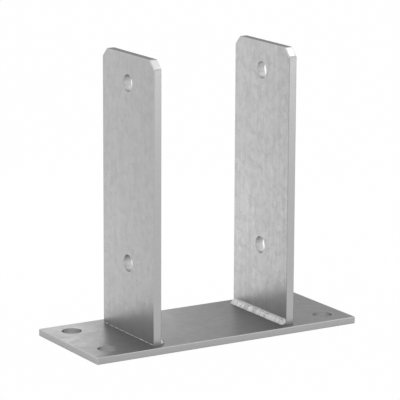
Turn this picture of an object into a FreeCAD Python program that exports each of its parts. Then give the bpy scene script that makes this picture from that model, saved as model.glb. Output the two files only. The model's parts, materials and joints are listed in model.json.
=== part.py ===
import FreeCAD, Part
import math
import os

# Welded U-shaped post base: a flat plate that is bolted down to concrete, and two upright
# flat bars that hold a timber post between them. Each bar is welded to the plate along the
# inner side of its foot, by one convex fillet bead.
#
# Millimetres. The origin is at the middle of the plate's underside, +Z is up, +X runs along
# the plate through both uprights, and +Y runs across the bars' width, to the back.

# Base plate
PLATE_THICKNESS = 5.0
PLATE_OVERHANG = 47.5        # plate beyond each upright's outer face, along X
PLATE_SIDE_MARGIN = 7.0      # plate beyond each edge of the bars, along Y
ANCHOR_HOLE_DIAMETER = 14.0  # clears an M12 anchor bolt
ANCHOR_END_DISTANCE = 17.0   # hole centre to the plate's end
ANCHOR_SIDE_DISTANCE = 16.5  # hole centre to the plate's long side

# Uprights
POST_GAP = 101.0             # clear width between the bars, for a 100 mm post
BAR_WIDTH = 70.0
BAR_THICKNESS = 6.0
UPRIGHT_HEIGHT = 195.0       # above the plate
CORNER_CHAMFER = 6.0         # 45 degree cut at the top corners of the bars
CHAMFER_ROUND = 2.0          # radius at both ends of that cut
POST_HOLE_DIAMETER = 12.0    # clears an M10 post bolt
LOWER_HOLE_HEIGHT = 50.0     # centre above the plate
UPPER_HOLE_DEPTH = 20.0      # centre below the upright's top

# Edges of bar and plate, softened by rolling, shearing and the zinc coat
EDGE_ROUND = 0.6

# Weld: leg length and how far the bead's face bulges past a straight face
WELD_LEG = 4.0
WELD_BULGE = 0.5
END_ROUND_OF_THROAT = 0.85   # radius at a bead's ends, as a share of its throat

# Sizes that follow
PLATE_LENGTH = POST_GAP + 2 * (BAR_THICKNESS + PLATE_OVERHANG)
PLATE_WIDTH = BAR_WIDTH + 2 * PLATE_SIDE_MARGIN
INNER_FACE_X = POST_GAP / 2
OUTER_FACE_X = INNER_FACE_X + BAR_THICKNESS
ANCHOR_X = PLATE_LENGTH / 2 - ANCHOR_END_DISTANCE
ANCHOR_Y = PLATE_WIDTH / 2 - ANCHOR_SIDE_DISTANCE
POST_HOLE_HEIGHTS = (LOWER_HOLE_HEIGHT, UPRIGHT_HEIGHT - UPPER_HOLE_DEPTH)
WELD_LENGTH = BAR_WIDTH - 2 * EDGE_ROUND
CUT_CLEARANCE = 1.0          # how far a drill passes both faces

X_AXIS = FreeCAD.Vector(1, 0, 0)
Z_AXIS = FreeCAD.Vector(0, 0, 1)


def base_plate():
    """Flat plate with its four anchor holes, all its outer edges softened."""
    corner = FreeCAD.Vector(-PLATE_LENGTH / 2, -PLATE_WIDTH / 2, 0)
    plate = Part.makeBox(PLATE_LENGTH, PLATE_WIDTH, PLATE_THICKNESS, corner)
    plate = plate.makeFillet(EDGE_ROUND, plate.Edges)
    drills = []
    for x in (-ANCHOR_X, ANCHOR_X):
        for y in (-ANCHOR_Y, ANCHOR_Y):
            start = FreeCAD.Vector(x, y, -CUT_CLEARANCE)
            depth = PLATE_THICKNESS + 2 * CUT_CLEARANCE
            drills.append(Part.makeCylinder(ANCHOR_HOLE_DIAMETER / 2, depth, start, Z_AXIS))
    return plate.cut(drills)


def upright_outline():
    """Closed outline of one bar in the plane X = 0: square at the foot, chamfered at the top."""
    half = BAR_WIDTH / 2
    foot = PLATE_THICKNESS
    top = PLATE_THICKNESS + UPRIGHT_HEIGHT
    right = [(half, foot), (half, top - CORNER_CHAMFER), (half - CORNER_CHAMFER, top)]
    left = [(-y, z) for y, z in reversed(right)]
    corners = [FreeCAD.Vector(0, y, z) for y, z in right + left]
    return Part.makePolygon(corners + corners[:1])


def upright(side):
    """One flat bar standing on the plate. side is -1 on the left and 1 on the right."""
    start_x = INNER_FACE_X if side > 0 else -OUTER_FACE_X
    bar = Part.Face(upright_outline()).extrude(X_AXIS * BAR_THICKNESS)
    bar.translate(X_AXIS * start_x)
    across = [edge for edge in bar.Edges if edge.BoundBox.XLength > BAR_THICKNESS / 2]
    chamfer_ends = [edge for edge in across if edge.BoundBox.ZMin > UPRIGHT_HEIGHT / 2]
    bar = bar.makeFillet(CHAMFER_ROUND, chamfer_ends)
    above_foot = [edge for edge in bar.Edges if edge.BoundBox.ZMax > PLATE_THICKNESS + EDGE_ROUND]
    around_faces = [edge for edge in above_foot if edge.BoundBox.XLength < BAR_THICKNESS / 2]
    bar = bar.makeFillet(EDGE_ROUND, around_faces)
    drills = []
    for height in POST_HOLE_HEIGHTS:
        start = FreeCAD.Vector(start_x - CUT_CLEARANCE, 0, PLATE_THICKNESS + height)
        depth = BAR_THICKNESS + 2 * CUT_CLEARANCE
        drills.append(Part.makeCylinder(POST_HOLE_DIAMETER / 2, depth, start, X_AXIS))
    return bar.cut(drills)


def weld_section(face_x, inward, y):
    """Section of the bead in the plane Y = y: two legs and a face that bulges outwards."""
    def point(out, up):
        return FreeCAD.Vector(face_x + inward * out, y, PLATE_THICKNESS + up)

    crown = WELD_LEG / 2 + WELD_BULGE * math.sqrt(0.5)
    root = point(0, 0)
    toe_on_plate = point(WELD_LEG, 0)
    toe_on_bar = point(0, WELD_LEG)
    edges = [
        Part.LineSegment(root, toe_on_plate).toShape(),
        Part.Arc(toe_on_plate, point(crown, crown), toe_on_bar).toShape(),
        Part.LineSegment(toe_on_bar, root).toShape(),
    ]
    return Part.Face(Part.Wire(edges))


def inner_weld(side):
    """Bead along the foot of one bar, on the side that faces the post, with rounded ends."""
    section = weld_section(side * INNER_FACE_X, -side, -WELD_LENGTH / 2)
    bead = section.extrude(FreeCAD.Vector(0, WELD_LENGTH, 0))
    end_arcs = [edge for edge in bead.Edges if isinstance(edge.Curve, Part.Circle)]
    throat = WELD_LEG * math.sqrt(0.5)
    return bead.makeFillet(END_ROUND_OF_THROAT * throat, end_arcs)


def write_step(node, shape):
    solids = shape.Solids
    if len(solids) != 1 or not shape.isValid():
        raise ValueError(f"{node}: {len(solids)} solids, valid {shape.isValid()}")
    solids[0].exportStep(f"parts/{node}.step")
    print(f"{node}: {solids[0].Volume / 1000:.2f} cm3")


def main():
    os.makedirs("parts", exist_ok=True)
    write_step("base_plate", base_plate())
    for name, side in (("left", -1), ("right", 1)):
        write_step(f"{name}_upright", upright(side))
        write_step(f"{name}_inner_weld", inner_weld(side))


main()
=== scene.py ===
"""Looks of a welded timber post base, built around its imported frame.

The base plate and the two upright bars are the frame's own solids with a zinc finish. The two
weld beads are modelled here, ripple by ripple, and stand for the plain beads of the frame. Two
thin lines of zinc in the creases outside the bars are modelled in the same way.
"""
import json
import math
import random
from typing import NamedTuple

import bmesh
import bpy
from mathutils import Matrix, Vector


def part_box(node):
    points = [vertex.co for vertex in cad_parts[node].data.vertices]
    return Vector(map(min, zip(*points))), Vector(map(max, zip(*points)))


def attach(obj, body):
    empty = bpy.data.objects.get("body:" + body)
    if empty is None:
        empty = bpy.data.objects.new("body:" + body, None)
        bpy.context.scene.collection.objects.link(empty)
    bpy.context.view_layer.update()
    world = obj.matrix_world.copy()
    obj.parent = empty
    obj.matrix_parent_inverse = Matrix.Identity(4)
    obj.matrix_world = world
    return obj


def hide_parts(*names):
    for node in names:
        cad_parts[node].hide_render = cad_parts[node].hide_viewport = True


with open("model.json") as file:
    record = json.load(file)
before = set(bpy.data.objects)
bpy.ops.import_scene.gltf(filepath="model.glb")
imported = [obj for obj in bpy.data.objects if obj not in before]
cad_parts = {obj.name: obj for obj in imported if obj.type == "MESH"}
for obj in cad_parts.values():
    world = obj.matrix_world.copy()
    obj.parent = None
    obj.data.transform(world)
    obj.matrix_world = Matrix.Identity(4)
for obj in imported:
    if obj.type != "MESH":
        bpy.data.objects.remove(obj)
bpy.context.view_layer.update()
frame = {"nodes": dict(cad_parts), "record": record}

bl_info = {
    "name": "Timber post base",
    "version": (1, 0, 0),
    "blender": (4, 5, 0),
    "location": "3D View > Sidebar > Post base",
    "description": "Zinc finish, weld beads and studio for a welded timber post base",
    "category": "Add Mesh",
}

MM_PER_METRE = 1000
MM = 1 / MM_PER_METRE

# Weld beads and zinc lines
BEAD_SEGMENTS = 108       # sides of the circle that a bead's round face is cut from
END_STEPS = 6             # rings in the rounding at each end of a bead
END_SCALE = 0.15          # size of the section at a bead's very ends
RINGS_PER_RIPPLE = 6
RIPPLE_SKEW = 1.25        # above 1, a ripple's crown lies past its middle
DEPTH_SPREAD = 2          # ripples differ in depth by this many times the unevenness
SIZE_SPREAD = 0.3         # and in size by this many times
SMOOTH_ANGLE = math.radians(42)

# Studio, in metres but for the sensor, which is in millimetres
SENSOR_WIDTH = 36.0
CLIP_END = 50
FLOOR_SIZE = 12

# Zinc coat
ARRIS = 0.6 * MM          # how far the softened edges of plate and bars reach
NARROW_BORDER = 0.8       # share of an arris in which a broad face turns into a narrow side
BORE_BORDER = (0.1 * MM, 0.3 * MM)  # past a hole's wall, between which its zinc fades out
BORE_ROUGHNESS = 0.45     # zinc froze in drips on the wall of a drilled hole, so it is rougher
STAIN_SHADE_BORDER = (0.3, 2.2)  # multiples of the darkened zone's reach, between which it fades out
PATCH_SHARE = 0.6         # weight of the patches against the streaks
CRYSTAL_SHARE = 0.16      # weight of the crystals against both
TONE_RANGE = (0.34, 0.66)  # weighed tones that count as fully dull and fully bright
GLOSS_SPREAD = 0.04       # bright zinc is smoother than the mean by this, and dull zinc rougher
NOISE_DETAIL = 4.0        # finer layers in the streaks and patches
STREAK_ROUGHNESS = 0.6    # strength of those layers in the streaks
PATCH_ROUGHNESS = 0.8     # and in the patches
GRIT_DETAIL = 2.0
GRIT_MM = 1.1             # real zinc grit is finer; this is the finest that shows

# Sockets of a Mix node, which has two inputs and one output for each kind of value
FLOAT_A, FLOAT_B, FLOAT_OUT = 2, 3, 0
COLOUR_A, COLOUR_B, COLOUR_OUT = 6, 7, 2


def linear(hex_colour):
    """An sRGB hex colour as linear red, green, blue and alpha."""
    channels = [int(hex_colour[i:i + 2], 16) / 255 for i in (1, 3, 5)]
    turned = [c / 12.92 if c <= 0.04045 else ((c + 0.055) / 1.055) ** 2.4 for c in channels]
    return (*turned, 1.0)


def add_node(tree, kind, values=None, links=None, **settings):
    """Adds one node, with its settings, its input values and its links from other sockets."""
    node = tree.nodes.new(kind)
    for name, value in settings.items():
        setattr(node, name, value)
    for name, value in (values or {}).items():
        node.inputs[name].default_value = value
    for name, socket in (links or {}).items():
        tree.links.new(socket, node.inputs[name])
    return node


# Soft lamps: place and aim in metres, the two sides in metres, and the brightness of the
# lamp's face, where 1 is as bright as the white surroundings.
LAMPS = (
    ("overhead softbox", (0.61, -0.26, 1.0), (0, 0, 0.15), (0.4, 0.4), 0.44),
    ("overhead spot", (0.31, -0.14, 0.61), (0.05, -0.03, 0.19), (0.14, 0.14), 0.64),
    ("back softbox", (0.05, 0.47, 0.13), (-0.08, 0, 0), (0.2, 0.2), 1.66),
    ("back side softbox", (0.20, 0.47, 0.13), (-0.08, 0, 0), (0.1, 0.2), 0.95),
    ("front softbox", (0.45, -0.75, 0.10), (0, -0.03, 0.1), (0.4, 0.18), 0.54),
)


def colour_property(name, description, hex_colour):
    return bpy.props.FloatVectorProperty(
        name=name, description=description, default=linear(hex_colour),
        subtype="COLOR", size=4, min=0.0, max=1.0)


class ZincSettings(bpy.types.PropertyGroup):
    """Colours and gloss of the hot-dip zinc coat."""
    plate_light: colour_property("Plate, light", "Brighter patches of the plate", "#BABABA")
    plate_dark: colour_property("Plate, dark", "Duller patches of the plate", "#ADADAD")
    plate_side: colour_property(
        "Plate sides", "Zinc on the two long, rolled sides of the plate", "#B8B8B8")
    # Painted light: the plate's two ends get a lighter colour than its long sides.
    lit_plate_end: colour_property(
        "Plate ends", "Thicker, brighter zinc on the two sheared ends of the plate", "#CDCDCD")
    left_light: colour_property("Left bar, light", "Brighter patches of the left bar", "#DADADA")
    left_dark: colour_property("Left bar, dark", "Duller patches of the left bar", "#CCCCCC")
    # Painted light: the right bar's bright patches are lighter than the left bar's.
    right_light: colour_property(
        "Right bar, light", "Brighter patches of the right bar", "#E3E3E3")
    right_dark: colour_property("Right bar, dark", "Duller patches of the right bar", "#CBCBCB")
    # Painted shade: the bars' narrow edges and tops get a darker colour than their faces.
    shaded_bar_edge: colour_property("Bar edges", "Thin zinc on the narrow edges of bars", "#BBBBBB")
    bar_bore: colour_property("Bar holes", "Zinc on the walls of the bars' holes", "#CCCCCC")
    plate_bore: colour_property(
        "Plate holes", "Zinc on the walls of the plate's holes", "#BEBEBE")
    bead_light: colour_property("Bead, light", "Brighter patches of the beads", "#C9C9C9")
    bead_dark: colour_property("Bead, dark", "Duller patches of the beads", "#BABABA")
    line_light: colour_property(
        "Zinc line, light", "Brighter patches of the zinc in the outer creases", "#B8B8B8")
    line_dark: colour_property(
        "Zinc line, dark", "Duller patches of the zinc in the outer creases", "#A4A4A4")
    edge_tint: colour_property("Edge tint", "Tint of the zinc at grazing angles", "#9C9C9C")
    # Painted shade with a heat stain: this colour darkens the zinc round the bars' feet, and
    # towards the bars' front edges, where it is painted shade only.
    stain_and_shade: colour_property("Stain", "Dull zinc over the heat-marked steel at the feet", "#9C9C9C")
    stain_shade_reach: bpy.props.FloatProperty(
        name="Stain reach",
        description="Distance from a foot at which the dull zinc has half faded",
        default=15 * MM, min=0.1 * MM, unit="LENGTH")
    # Painted shade: the darkening at the feet grows taller towards the bars' fronts.
    front_shade_tilt: bpy.props.FloatProperty(
        name="Stain tilt", description="Growth of the stain on the bars towards their fronts",
        default=0.35, min=0.0, max=1.0)
    # Strengths of the darkening round the feet, heat stain and painted shade together, on the
    # plate and at each bar.
    plate_stain_shade: bpy.props.FloatProperty(
        name="Plate stain", description="How strong the stain is on the plate around the feet",
        default=0.3, min=0.0, max=1.0, subtype="FACTOR")
    left_stain_shade: bpy.props.FloatProperty(
        name="Left stain", description="How strong the stain is at the left bar's foot",
        default=0.5, min=0.0, max=1.0, subtype="FACTOR")
    right_stain_shade: bpy.props.FloatProperty(
        name="Right stain", description="How strong the stain is at the right bar's foot",
        default=0.3, min=0.0, max=1.0, subtype="FACTOR")
    stain_roughness: bpy.props.FloatProperty(
        name="Stain roughness", description="Roughness of the dull zinc right at a foot",
        default=0.34, min=0.0, max=1.0, subtype="FACTOR")
    # Painted shade: how much the bars darken towards their front edges.
    front_shade_share: bpy.props.FloatProperty(
        name="Drain share",
        description="How much duller the bars are at their front edges, where the zinc ran off",
        default=0.22, min=0.0, max=1.0, subtype="FACTOR")
    bar_roughness: bpy.props.FloatProperty(
        name="Bar roughness", description="Mean roughness of the zinc on the bars and beads",
        default=0.25, min=0.0, max=1.0, subtype="FACTOR")
    plate_roughness: bpy.props.FloatProperty(
        name="Plate roughness", description="Mean roughness of the zinc on the plate",
        default=0.33, min=0.0, max=1.0, subtype="FACTOR")
    grain: bpy.props.FloatProperty(
        name="Grain relief", description="Height of the fine grain in the zinc's surface",
        default=0.02 * MM, min=0.0, unit="LENGTH")


class BeadSettings(bpy.types.PropertyGroup):
    """Form of the weld beads."""
    bulge: bpy.props.FloatProperty(
        name="Bulge", description="How far a bead's face bulges past a straight face",
        default=0.5 * MM, min=0.01 * MM, unit="LENGTH")
    pitch: bpy.props.FloatProperty(
        name="Ripple pitch", description="Mean length of one ripple along the bead",
        default=2.0 * MM, min=0.2 * MM, unit="LENGTH")
    depth: bpy.props.FloatProperty(
        name="Ripple depth", description="Depth between two ripples at the bead's crown",
        default=0.25 * MM, min=0.0, unit="LENGTH")
    lean: bpy.props.FloatProperty(
        name="Ripple lean", description="How far a ripple's crown runs ahead of its toes",
        default=1.3 * MM, min=0.0, unit="LENGTH")
    end_length: bpy.props.FloatProperty(
        name="End rounding", description="Length of the rounding at each end of a bead",
        default=2.4 * MM, min=0.1 * MM, unit="LENGTH")
    unevenness: bpy.props.FloatProperty(
        name="Unevenness", description="How much one ripple differs from the next",
        default=0.2, min=0.0, max=0.6, subtype="FACTOR")
    seed: bpy.props.IntProperty(
        name="Seed", description="Start of the random draws for the ripples", default=7)


class LineSettings(bpy.types.PropertyGroup):
    """Form of the zinc that froze in the creases outside the bars."""
    leg: bpy.props.FloatProperty(
        name="Leg", description="How far the zinc reaches up the bar and out on the plate",
        default=0.5 * MM, min=0.05 * MM, unit="LENGTH")
    bulge: bpy.props.FloatProperty(
        name="Bulge", description="How far the line's face bulges past a straight face",
        default=0.03 * MM, min=0.01 * MM, unit="LENGTH")
    pitch: bpy.props.FloatProperty(
        name="Swell pitch", description="Mean length of one swell along the line",
        default=7.0 * MM, min=0.2 * MM, unit="LENGTH")
    depth: bpy.props.FloatProperty(
        name="Swell depth", description="Depth between two swells of the line",
        default=0.28 * MM, min=0.0, unit="LENGTH")
    lean: bpy.props.FloatProperty(
        name="Swell lean", description="How far a swell's crown runs ahead of its toes",
        default=0.1 * MM, min=0.0, unit="LENGTH")
    end_length: bpy.props.FloatProperty(
        name="End rounding", description="Length of the rounding at each end of a line",
        default=0.5 * MM, min=0.1 * MM, unit="LENGTH")
    unevenness: bpy.props.FloatProperty(
        name="Unevenness", description="How much one swell differs from the next",
        default=0.25, min=0.0, max=0.6, subtype="FACTOR")
    seed: bpy.props.IntProperty(
        name="Seed", description="Start of the random draws for the swells", default=3)


class StudioSettings(bpy.types.PropertyGroup):
    """Camera, lamps and floor."""
    aim: bpy.props.FloatVectorProperty(
        name="Aim", description="Point that the camera looks at",
        default=(-0.0002, -0.0016, 0.0933), subtype="XYZ", unit="LENGTH")
    distance: bpy.props.FloatProperty(
        name="Distance", description="From the camera to the point it looks at",
        default=1.7383, min=0.1, unit="LENGTH")
    turn: bpy.props.FloatProperty(
        name="Turn", description="Camera's turn to the object's left side",
        default=math.radians(31.2), subtype="ANGLE")
    height_angle: bpy.props.FloatProperty(
        name="Height angle", description="Camera's angle above the horizon",
        default=math.radians(12.61), subtype="ANGLE")
    roll: bpy.props.FloatProperty(
        name="Roll", description="Camera's roll about its own axis",
        default=math.radians(0.25), subtype="ANGLE")
    lens: bpy.props.FloatProperty(
        name="Focal length", description="Focal length in millimetres", default=226.1, min=1.0)
    floor: colour_property("Floor", "Plain pale floor", "#FAFAFA")
    backdrop_share: bpy.props.FloatProperty(
        name="Backdrop share", description="How much of the floor is seen as plain white",
        default=0.98, min=0.0, max=1.0, subtype="FACTOR")
    mirrored_share: bpy.props.FloatProperty(
        name="Mirrored share",
        description="How much of the floor is plain white where the zinc mirrors it",
        default=0.2, min=0.0, max=1.0, subtype="FACTOR")
    fill: bpy.props.FloatProperty(
        name="Fill", description="Strength of the soft light from all around",
        default=0.81, min=0.0)
    lamps: bpy.props.FloatProperty(
        name="Lamps", description="Strength of all the soft lamps together",
        default=1.0, min=0.0)


def select_only(obj):
    bpy.ops.object.select_all(action="DESELECT")
    obj.select_set(True)
    bpy.context.view_layer.objects.active = obj


def turned_copy(piece, name):
    """A copy with its own mesh, turned half round about the part's upright middle line."""
    select_only(piece)
    bpy.ops.object.duplicate(linked=False)
    copy = bpy.context.object
    copy.name = name
    copy.data.name = name
    bpy.ops.transform.rotate(value=math.pi, orient_axis="Z", center_override=(0, 0, 0))
    bpy.ops.object.transform_apply(location=True, rotation=True, scale=True)
    return copy


class BeadMaker:
    """Draws a bead out of one section, by extruding and resizing it in edit mode."""

    def __init__(self, name, root, leg, length, settings):
        self.root = root
        self.leg = leg
        self.length = length
        self.settings = settings
        self.scale = 1.0
        self.object = self.cut_section(name)

    def cut_section(self, name):
        """The bead's section: two straight legs and a face that is an arc of a circle."""
        bulge = self.settings.bulge
        chord = self.leg * math.sqrt(2)
        radius = chord ** 2 / (8 * bulge) + bulge / 2
        crown = chord / 2 + bulge
        offset = (crown - radius) / math.sqrt(2)
        centre = self.root + Vector((offset, 0, offset))
        bpy.ops.object.select_all(action="DESELECT")
        bpy.ops.mesh.primitive_circle_add(
            vertices=BEAD_SEGMENTS, radius=radius, fill_type="NGON",
            location=centre, rotation=(math.pi / 2, 0, 0))
        bpy.ops.object.transform_apply(location=True, rotation=True, scale=True)
        piece = bpy.context.object
        piece.name = name
        piece.data.name = name
        bpy.ops.object.mode_set(mode="EDIT")
        for normal in ((0, 0, 1), (1, 0, 0)):
            bpy.ops.mesh.select_all(action="SELECT")
            bpy.ops.mesh.bisect(plane_co=self.root, plane_no=normal, clear_inner=True)
        return piece

    def open_end(self, mesh):
        """The open end's face, which is the many-sided one furthest along."""
        wide = [face for face in mesh.faces if len(face.verts) > 4]
        return max(wide, key=lambda face: face.calc_center_median().y)

    def select_section(self):
        bpy.ops.mesh.select_mode(type="FACE")
        bpy.ops.mesh.select_all(action="DESELECT")
        mesh = bmesh.from_edit_mesh(self.object.data)
        self.open_end(mesh).select_set(True)
        mesh.select_flush_mode()

    def resize(self, scale):
        share = scale / self.scale
        bpy.ops.transform.resize(value=(share, 1, share), center_override=self.root)
        self.scale = scale

    def advance(self, step, scale):
        bpy.ops.mesh.extrude_region_move(TRANSFORM_OT_translate={"value": (0, step, 0)})
        self.root.y += step
        self.resize(scale)

    def lean(self, step):
        """Moves the section's crown along the bead, and its neighbours smoothly less."""
        bpy.ops.mesh.select_mode(type="VERT")
        bpy.ops.mesh.select_all(action="DESELECT")
        mesh = bmesh.from_edit_mesh(self.object.data)
        root = self.root.xz
        crown = max(self.open_end(mesh).verts, key=lambda vert: (vert.co.xz - root).length)
        crown.select_set(True)
        mesh.select_flush_mode()
        bpy.ops.transform.translate(
            value=(0, step, 0), use_proportional_edit=True,
            proportional_edit_falloff="SMOOTH",
            proportional_size=self.scale * self.leg / math.sqrt(2))
        self.select_section()

    def end_steps(self):
        """The steps of a rounded end: each one's length, and the scales before and after it."""
        end = self.settings.end_length
        angles = [math.pi / 2 * i / END_STEPS for i in range(END_STEPS + 1)]
        rings = [
            (end * (1 - math.cos(angle)), END_SCALE + (1 - END_SCALE) * math.sin(angle))
            for angle in angles]
        return [(b[0] - a[0], a[1], b[1]) for a, b in zip(rings, rings[1:])]

    def ripples(self, draws):
        """The ripples one after another, no two alike."""
        settings = self.settings
        shallow = settings.depth / (self.leg / math.sqrt(2) + settings.bulge)
        body = self.length - 2 * settings.end_length
        count = round(body / settings.pitch)
        pitches = [1 + draws.uniform(-1, 1) * settings.unevenness for _ in range(count)]
        unit = body / sum(pitches)
        for pitch in pitches:
            depth = shallow * (1 + draws.uniform(-1, 1) * DEPTH_SPREAD * settings.unevenness)
            size = 1 - draws.uniform(0, 1) * SIZE_SPREAD * settings.unevenness
            for ring in range(1, RINGS_PER_RIPPLE + 1):
                place = (ring / RINGS_PER_RIPPLE) ** RIPPLE_SKEW
                scale = size * (1 - depth * (1 - math.sin(math.pi * place)))
                self.advance(unit * pitch / RINGS_PER_RIPPLE, scale)

    def run(self, draws):
        """Rounded start, the ripples and a rounded end."""
        steps = self.end_steps()
        lean = self.settings.lean / END_STEPS
        self.select_section()
        self.resize(END_SCALE)
        for step, _, scale in steps:
            self.advance(step, scale)
            self.lean(lean)
        self.ripples(draws)
        for step, scale, _ in reversed(steps):
            self.lean(-lean)
            self.advance(step, scale)

        bpy.ops.mesh.select_all(action="SELECT")
        bpy.ops.mesh.normals_make_consistent(inside=False)
        bpy.ops.object.mode_set(mode="OBJECT")
        bpy.ops.object.shade_smooth_by_angle(angle=SMOOTH_ANGLE)
        return self.object


class Bores(NamedTuple):
    """Holes that lie evenly about a middle point, at plus and minus offset from it."""
    colour: tuple
    middle: tuple
    across: tuple         # 1 along each axis that runs across the holes, and 0 along theirs
    offset: tuple
    radius: float


class Foot(NamedTuple):
    """Darkened zone round the feet of both bars, which mirror each other: heat stain and painted
    shade.
    """
    share: float          # strength of the heat stain and painted shade
    tilt: float           # its growth towards the front, which is painted shade
    middle: tuple         # of the right one of the two footprints
    half_size: tuple


def zinc_tone(tree, place, streak_mm, patch_mm, spangle_mm):
    """The zinc's tone, from 0 where it is dull to 1 where it is bright, and its streaks alone."""
    stretched = add_node(
        tree, "ShaderNodeMapping", {"Scale": [MM_PER_METRE / size for size in streak_mm]},
        {"Vector": place})
    streaks = add_node(
        tree, "ShaderNodeTexNoise",
        {"Scale": 1.0, "Detail": NOISE_DETAIL, "Roughness": STREAK_ROUGHNESS},
        {"Vector": stretched.outputs["Vector"]}).outputs["Fac"]
    patches = add_node(
        tree, "ShaderNodeTexNoise",
        {"Scale": MM_PER_METRE / patch_mm, "Detail": NOISE_DETAIL,
         "Roughness": PATCH_ROUGHNESS},
        {"Vector": place}).outputs["Fac"]
    crystals = add_node(
        tree, "ShaderNodeTexVoronoi", {"Scale": MM_PER_METRE / spangle_mm, "Randomness": 1.0},
        {"Vector": place})
    crystal_tone = add_node(
        tree, "ShaderNodeSeparateColor",
        links={"Color": crystals.outputs["Color"]}).outputs["Red"]
    cloudy = add_node(
        tree, "ShaderNodeMix", {"Factor": PATCH_SHARE},
        {FLOAT_A: streaks, FLOAT_B: patches}, data_type="FLOAT").outputs[FLOAT_OUT]
    weighed = add_node(
        tree, "ShaderNodeMix", {"Factor": CRYSTAL_SHARE},
        {FLOAT_A: cloudy, FLOAT_B: crystal_tone}, data_type="FLOAT").outputs[FLOAT_OUT]
    tone = add_node(
        tree, "ShaderNodeMapRange", {"From Min": TONE_RANGE[0], "From Max": TONE_RANGE[1]},
        {"Value": weighed}).outputs["Result"]
    return tone, streaks


def zinc_material(name, zinc, colours, roughness, streak_mm, patch_mm, spangle_mm,
                  narrow=(), bores=None, foot=None, shaded_front=None):
    """A zinc coat whose tone follows rolling streaks, cloudy patches and faint crystals.

    colours are those of the dull and the bright zinc. narrow has (colour, start) for each kind of
    narrow side: its colour, and how far out from the middle such sides start along each axis.
    bores are its drilled holes and foot the darkened zone round the feet, a heat stain with
    painted shade.
    The last argument is how far from the middle the front edge lies; the colour darkens towards
    it as painted shade.
    """
    material = bpy.data.materials.new(name)
    material.use_nodes = True
    tree = material.node_tree
    tree.nodes.clear()
    place = add_node(tree, "ShaderNodeTexCoord").outputs["Object"]

    tone, streaks = zinc_tone(tree, place, streak_mm, patch_mm, spangle_mm)
    colour = add_node(
        tree, "ShaderNodeMix", {COLOUR_A: colours[0], COLOUR_B: colours[1]},
        {"Factor": tone}, data_type="RGBA").outputs[COLOUR_OUT]
    gloss = add_node(
        tree, "ShaderNodeMapRange",
        {"To Min": roughness + GLOSS_SPREAD, "To Max": roughness - GLOSS_SPREAD},
        {"Value": tone}).outputs["Result"]
    # Heat stain and painted shade: round the feet the colour darkens and the zinc is rougher.
    if foot:
        stained_and_shaded = foot_stain_and_shade(tree, place, zinc.stain_shade_reach, streaks, foot)
        gloss = add_node(
            tree, "ShaderNodeMix", {FLOAT_B: zinc.stain_roughness},
            {"Factor": stained_and_shaded, FLOAT_A: gloss}, data_type="FLOAT").outputs[FLOAT_OUT]
        share = add_node(
            tree, "ShaderNodeMath", {1: foot.share}, {0: stained_and_shaded},
            operation="MULTIPLY").outputs[0]
        colour = add_node(
            tree, "ShaderNodeMix", {COLOUR_B: zinc.stain_and_shade}, {"Factor": share, COLOUR_A: colour},
            data_type="RGBA").outputs[COLOUR_OUT]
    # Painted shade: the colour darkens from the back edge towards the front edge.
    if shaded_front:
        along = add_node(
            tree, "ShaderNodeSeparateXYZ", links={"Vector": place}).outputs["Y"]
        front_shaded = add_node(
            tree, "ShaderNodeMapRange",
            {"From Min": shaded_front, "From Max": -shaded_front, "To Max": zinc.front_shade_share},
            {"Value": along}).outputs["Result"]
        colour = add_node(
            tree, "ShaderNodeMix", {COLOUR_B: zinc.stain_and_shade},
            {"Factor": front_shaded, COLOUR_A: colour}, data_type="RGBA").outputs[COLOUR_OUT]
    # The narrow sides get colours of their own; on the bars it is darker, as painted shade, and
    # on the plate's ends lighter, as painted light.
    for side_colour, start in narrow:
        side = narrow_sides(tree, place, start)
        colour = add_node(
            tree, "ShaderNodeMix", {COLOUR_B: side_colour}, {"Factor": side, COLOUR_A: colour},
            data_type="RGBA").outputs[COLOUR_OUT]
    if bores:
        wall = bore_walls(tree, place, bores)
        colour = add_node(
            tree, "ShaderNodeMix", {COLOUR_B: bores.colour},
            {"Factor": wall, COLOUR_A: colour}, data_type="RGBA").outputs[COLOUR_OUT]
        gloss = add_node(
            tree, "ShaderNodeMix", {FLOAT_B: BORE_ROUGHNESS}, {"Factor": wall, FLOAT_A: gloss},
            data_type="FLOAT").outputs[FLOAT_OUT]

    grit = add_node(
        tree, "ShaderNodeTexNoise", {"Scale": MM_PER_METRE / GRIT_MM, "Detail": GRIT_DETAIL},
        {"Vector": place})
    relief = add_node(
        tree, "ShaderNodeBump", {"Strength": 1.0, "Distance": zinc.grain},
        {"Height": grit.outputs["Fac"]})
    shader = add_node(
        tree, "ShaderNodeBsdfPrincipled", {"Metallic": 1.0, "Specular Tint": zinc.edge_tint},
        {"Base Color": colour, "Roughness": gloss, "Normal": relief.outputs["Normal"]})
    add_node(tree, "ShaderNodeOutputMaterial", links={"Surface": shader.outputs["BSDF"]})
    return material


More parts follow.
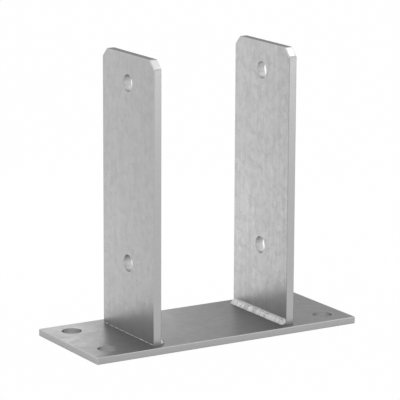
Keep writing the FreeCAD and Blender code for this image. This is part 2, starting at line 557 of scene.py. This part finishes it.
def foot_stain_and_shade(tree, place, reach, streaks, foot):
    """1 at the two footprints, and smoothly down to 0 around them: heat stain and painted shade.
    """
    away = place
    for shift in (foot.middle, foot.half_size):
        folded = add_node(
            tree, "ShaderNodeVectorMath", links={0: away}, operation="ABSOLUTE")
        away = add_node(
            tree, "ShaderNodeVectorMath", {1: shift}, {0: folded.outputs[0]},
            operation="SUBTRACT").outputs[0]
    beyond = add_node(
        tree, "ShaderNodeVectorMath", {1: (0, 0, 0)}, {0: away}, operation="MAXIMUM")
    distance = add_node(
        tree, "ShaderNodeVectorMath", links={0: beyond.outputs[0]}, operation="LENGTH")
    # The streaks make the border of the darkened zone uneven.
    uneven = add_node(
        tree, "ShaderNodeMath", {1: reach / 2},
        {0: streaks, 2: distance.outputs["Value"]}, operation="MULTIPLY_ADD")
    # Painted shade: the darkened zone is taller towards the front.
    tilted = add_node(
        tree, "ShaderNodeVectorMath", {1: (0, foot.tilt, 0)}, {0: place},
        operation="DOT_PRODUCT")
    spread = add_node(
        tree, "ShaderNodeMath", links={0: uneven.outputs[0], 1: tilted.outputs["Value"]},
        operation="ADD")
    return add_node(
        tree, "ShaderNodeMapRange",
        {"From Min": STAIN_SHADE_BORDER[0] * reach, "From Max": STAIN_SHADE_BORDER[1] * reach,
         "To Min": 1.0, "To Max": 0.0},
        {"Value": spread.outputs[0]}, interpolation_type="SMOOTHSTEP").outputs["Result"]


def narrow_sides(tree, place, start):
    """1 on the narrow sides, which lie past start along any axis, and 0 on the broad faces."""
    folded = add_node(tree, "ShaderNodeVectorMath", links={0: place}, operation="ABSOLUTE")
    past = add_node(
        tree, "ShaderNodeVectorMath", {1: start}, {0: folded.outputs[0]},
        operation="SUBTRACT")
    axes = add_node(
        tree, "ShaderNodeSeparateXYZ", links={"Vector": past.outputs[0]}).outputs
    furthest = axes["X"]
    for axis in ("Y", "Z"):
        furthest = add_node(
            tree, "ShaderNodeMath", links={0: furthest, 1: axes[axis]},
            operation="MAXIMUM").outputs[0]
    return add_node(
        tree, "ShaderNodeMapRange", {"From Max": NARROW_BORDER * ARRIS},
        {"Value": furthest}).outputs["Result"]


def bore_walls(tree, place, bores):
    """1 on the walls of the holes and 0 elsewhere."""
    centred = add_node(
        tree, "ShaderNodeVectorMath", {1: bores.middle}, {0: place}, operation="SUBTRACT")
    folded = add_node(
        tree, "ShaderNodeVectorMath", links={0: centred.outputs[0]}, operation="ABSOLUTE")
    across = add_node(
        tree, "ShaderNodeVectorMath", {1: bores.across}, {0: folded.outputs[0]},
        operation="MULTIPLY")
    away = add_node(
        tree, "ShaderNodeVectorMath", {1: bores.offset}, {0: across.outputs[0]},
        operation="DISTANCE")
    return add_node(
        tree, "ShaderNodeMapRange",
        {"From Min": bores.radius + BORE_BORDER[1], "From Max": bores.radius + BORE_BORDER[0]},
        {"Value": away.outputs["Value"]}).outputs["Result"]


def mount(name):
    """One of the record's mounts, by its name."""
    return next(m for m in frame["record"]["mounts"] if m["name"] == name)


def footprint(name):
    """Middle and half size of a node's foot on the plate."""
    low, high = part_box(name)
    middle = ((low.x + high.x) / 2, (low.y + high.y) / 2, low.z)
    return middle, ((high.x - low.x) / 2, (high.y - low.y) / 2, 0)


def finish_nodes(names, material):
    """Gives CAD nodes a material, in the slot that they already have."""
    for name in names:
        node = frame["nodes"][name]
        for slot in node.material_slots:
            slot.material = material


class FinishPlate(bpy.types.Operator):
    """Gives the base plate its hot-dip zinc coat"""
    bl_idname = "post_base.finish_plate"
    bl_label = "Plate finish"
    bl_options = {"REGISTER", "UNDO"}

    def execute(self, context):
        zinc = context.scene.post_base_zinc
        # Hot-dip galvanised hot-rolled plate, weathered matt: even grey zinc, cloudy patches
        # and fine rolling streaks along the plate.
        anchors = mount("anchor_holes")["dims"]
        offset = (anchors["spacing_x_mm"] * MM / 2, anchors["spacing_y_mm"] * MM / 2, 0)
        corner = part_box("base_plate")[1]
        material = zinc_material(
            "Hot-dip galvanised plate", zinc, (zinc.plate_dark, zinc.plate_light),
            zinc.plate_roughness, streak_mm=(70, 3, 30), patch_mm=9, spangle_mm=5,
            narrow=((zinc.plate_side, (corner.x, corner.y - ARRIS, corner.z)),
                    # Painted light: the plate's ends are coloured lighter.
                    (zinc.lit_plate_end, (corner.x - ARRIS, corner.y, corner.z))),
            bores=Bores(zinc.plate_bore, (0, 0, 0), (1, 1, 0), offset,
                        anchors["hole_r_mm"] * MM),
            # Heat stain and painted shade round the bars' feet on the plate.
            foot=Foot(zinc.plate_stain_shade, 0, *footprint("right_inner_weld")))
        finish_nodes(["base_plate"], material)
        return {"FINISHED"}


class FinishUprights(bpy.types.Operator):
    """Gives both upright bars their hot-dip zinc coat"""
    bl_idname = "post_base.finish_uprights"
    bl_label = "Uprights finish"
    bl_options = {"REGISTER", "UNDO"}

    def execute(self, context):
        zinc = context.scene.post_base_zinc
        # Hot-dip galvanised flat bar: the same zinc, with streaks that run down the bar as it
        # was rolled and as the zinc drained.
        lower, upper = mount("lower_post_bolt"), mount("upper_post_bolt")
        middle = (lower["pos_m"][2] + upper["pos_m"][2]) / 2
        offset = upper["pos_m"][2] - middle
        bores = Bores(zinc.bar_bore, (0, 0, middle), (0, 1, 1), (0, 0, offset),
                      upper["dims"]["r_mm"] * MM)
        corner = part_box("right_upright")[1]
        # Painted shade: the narrow edges and tops of the bars are coloured darker.
        edges = ((zinc.shaded_bar_edge, (corner.x, corner.y - ARRIS, corner.z - ARRIS)),)
        # Painted light: the right bar gets lighter bright patches than the left. The darkening at
        # each foot, heat stain and painted shade, differs in strength.
        for side, colours, stain_and_shade in (
                ("left", (zinc.left_dark, zinc.left_light), zinc.left_stain_shade),
                ("right", (zinc.right_dark, zinc.right_light), zinc.right_stain_shade)):
            material = zinc_material(
                f"Hot-dip galvanised flat bar, {side}", zinc, colours, zinc.bar_roughness,
                streak_mm=(30, 2.4, 80), patch_mm=8, spangle_mm=4, narrow=edges, bores=bores,
                foot=Foot(stain_and_shade, zinc.front_shade_tilt, *footprint("right_upright")),
                # Painted shade: the bars darken towards their front edges.
                shaded_front=corner.y)
            finish_nodes([f"{side}_upright"], material)
        return {"FINISHED"}


class MakeBeads(bpy.types.Operator):
    """Models the weld beads along the feet of both bars"""
    bl_idname = "post_base.make_beads"
    bl_label = "Weld beads"
    bl_options = {"REGISTER", "UNDO"}

    def execute(self, context):
        settings = context.scene.post_base_beads
        zinc = context.scene.post_base_zinc
        # Arc-welded fillet under hot-dip zinc: thick, bright zinc that softens the ripples.
        material = zinc_material(
            "Hot-dip galvanised weld bead", zinc, (zinc.bead_dark, zinc.bead_light),
            zinc.bar_roughness, streak_mm=(4, 4, 4), patch_mm=6, spangle_mm=3)
        low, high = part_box("left_inner_weld")
        root = Vector((low.x, low.y, low.z))
        maker = BeadMaker("left_bead", root, high.z - low.z, high.y - low.y, settings)
        left = maker.run(random.Random(settings.seed))
        left.data.materials.append(material)
        # The bar opposite has the same bead, and so laid the other way.
        right = turned_copy(left, "right_bead")
        for side, bead in (("left", left), ("right", right)):
            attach(bead, "root")
            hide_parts(f"{side}_inner_weld")
        return {"FINISHED"}


class MakeZincLines(bpy.types.Operator):
    """Models the thin line of zinc in the crease outside each bar"""
    bl_idname = "post_base.make_zinc_lines"
    bl_label = "Zinc lines"
    bl_options = {"REGISTER", "UNDO"}

    def execute(self, context):
        settings = context.scene.post_base_lines
        zinc = context.scene.post_base_zinc
        # Hot-dip zinc that ran into the crease as the part drained: dull, with slow swells.
        material = zinc_material(
            "Hot-dip zinc in the creases", zinc, (zinc.line_dark, zinc.line_light),
            zinc.plate_roughness, streak_mm=(4, 4, 4), patch_mm=6, spangle_mm=3)
        low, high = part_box("right_upright")
        root = Vector((high.x, low.y + ARRIS, low.z))
        length = high.y - low.y - 2 * ARRIS
        maker = BeadMaker("right_zinc_line", root, settings.leg, length, settings)
        right = maker.run(random.Random(settings.seed))
        right.data.materials.append(material)
        for line in (right, turned_copy(right, "left_zinc_line")):
            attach(line, "root")
        return {"FINISHED"}


class MakeStudio(bpy.types.Operator):
    """Sets the floor, the soft lamps and the camera"""
    bl_idname = "post_base.make_studio"
    bl_label = "Studio"
    bl_options = {"REGISTER", "UNDO"}

    def execute(self, context):
        studio = context.scene.post_base_studio
        self.make_floor(studio)
        self.make_surroundings(context.scene, studio)
        self.make_lamps(studio)
        self.make_camera(context.scene, studio)
        return {"FINISHED"}

    @staticmethod
    def seen_rays(tree, camera_share, mirrored_share):
        """One share for rays from the camera, one off gloss and through glass, 0 for others."""
        rays = add_node(tree, "ShaderNodeLightPath")
        mirrored = add_node(
            tree, "ShaderNodeMath",
            links={0: rays.outputs["Is Glossy Ray"], 1: rays.outputs["Is Transmission Ray"]},
            operation="MAXIMUM")
        mirrored = add_node(
            tree, "ShaderNodeMath", {1: mirrored_share}, {0: mirrored.outputs[0]},
            operation="MULTIPLY")
        return add_node(
            tree, "ShaderNodeMath", {1: camera_share},
            {0: rays.outputs["Is Camera Ray"], 2: mirrored.outputs[0]},
            operation="MULTIPLY_ADD").outputs[0]

    def make_floor(self, studio):
        bpy.ops.object.select_all(action="DESELECT")
        bpy.ops.mesh.primitive_plane_add(size=FLOOR_SIZE)
        floor = bpy.context.object
        floor.name = "floor"
        material = bpy.data.materials.new("Matt white floor")
        material.use_nodes = True
        tree = material.node_tree
        tree.nodes.clear()
        paper = add_node(tree, "ShaderNodeBsdfDiffuse", {"Color": studio.floor})
        white = add_node(tree, "ShaderNodeEmission", {"Strength": 1.0})
        share = self.seen_rays(tree, studio.backdrop_share, studio.mirrored_share)
        mixed = add_node(
            tree, "ShaderNodeMixShader",
            links={0: share, 1: paper.outputs[0], 2: white.outputs[0]})
        add_node(tree, "ShaderNodeOutputMaterial", links={"Surface": mixed.outputs[0]})
        floor.data.materials.append(material)

    def make_surroundings(self, scene, studio):
        world = bpy.data.worlds.new("White surroundings")
        scene.world = world
        world.use_nodes = True
        tree = world.node_tree
        tree.nodes.clear()
        fill = add_node(tree, "ShaderNodeBackground", {"Strength": studio.fill})
        white = add_node(tree, "ShaderNodeBackground", {"Strength": 1.0})
        for light in (fill, white):
            light.inputs["Color"].default_value = linear("#FFFFFF")
        mixed = add_node(
            tree, "ShaderNodeMixShader",
            links={0: self.seen_rays(tree, 1.0, 1.0), 1: fill.outputs[0], 2: white.outputs[0]})
        add_node(tree, "ShaderNodeOutputWorld", links={"Surface": mixed.outputs[0]})

    @staticmethod
    def make_lamps(studio):
        for name, place, aim, sides, brightness in LAMPS:
            bpy.ops.object.light_add(type="AREA", location=place)
            lamp = bpy.context.object
            lamp.name = name
            lamp.data.shape = "RECTANGLE"
            lamp.data.size, lamp.data.size_y = sides
            # A lamp's face of brightness 1 gives pi watts from each square metre.
            lamp.data.energy = math.pi * sides[0] * sides[1] * brightness * studio.lamps
            facing = Vector(place) - Vector(aim)
            lamp.rotation_euler = facing.to_track_quat("Z", "Y").to_euler()
            lamp.visible_camera = False

    @staticmethod
    def make_camera(scene, studio):
        flat = math.cos(studio.height_angle)
        forward = Vector((math.sin(studio.turn) * flat, math.cos(studio.turn) * flat,
                          -math.sin(studio.height_angle)))
        right = Vector((math.cos(studio.turn), -math.sin(studio.turn), 0))
        up = right.cross(forward)
        rolled_right = math.cos(studio.roll) * right + math.sin(studio.roll) * up
        rolled_up = math.cos(studio.roll) * up - math.sin(studio.roll) * right
        place = Vector(studio.aim) - forward * studio.distance
        bpy.ops.object.camera_add()
        camera = bpy.context.object
        turned = Matrix((rolled_right, rolled_up, -forward)).transposed()
        camera.matrix_world = Matrix.Translation(place) @ turned.to_4x4()
        camera.data.sensor_width = SENSOR_WIDTH
        camera.data.lens = studio.lens
        camera.data.clip_end = CLIP_END
        scene.camera = camera
        scene.view_settings.view_transform = "Standard"


OPERATORS = (FinishPlate, FinishUprights, MakeBeads, MakeZincLines, MakeStudio)


class PostBasePanel(bpy.types.Panel):
    """Lists the settings and the pieces"""
    bl_idname = "VIEW3D_PT_post_base"
    bl_label = "Timber post base"
    bl_space_type = "VIEW_3D"
    bl_region_type = "UI"
    bl_category = "Post base"

    def draw(self, context):
        layout = self.layout
        for title, name, kind in SETTINGS:
            box = layout.box()
            box.label(text=title)
            for key in kind.__annotations__:
                box.prop(getattr(context.scene, name), key)
        for operator in OPERATORS:
            layout.operator(operator.bl_idname)


SETTINGS = (
    ("Zinc coat", "post_base_zinc", ZincSettings),
    ("Weld beads", "post_base_beads", BeadSettings),
    ("Zinc lines", "post_base_lines", LineSettings),
    ("Studio", "post_base_studio", StudioSettings),
)
CLASSES = tuple(kind for _, _, kind in SETTINGS) + OPERATORS + (PostBasePanel,)


def register():
    for cls in CLASSES:
        bpy.utils.register_class(cls)
    for _, name, kind in SETTINGS:
        setattr(bpy.types.Scene, name, bpy.props.PointerProperty(type=kind))


def unregister():
    for _, name, _ in SETTINGS:
        delattr(bpy.types.Scene, name)
    for cls in reversed(CLASSES):
        bpy.utils.unregister_class(cls)


def main():
    register()
    bpy.ops.post_base.finish_plate()
    bpy.ops.post_base.finish_uprights()
    bpy.ops.post_base.make_beads()
    bpy.ops.post_base.make_zinc_lines()
    bpy.ops.post_base.make_studio()


if __name__ == "__main__":
    main()
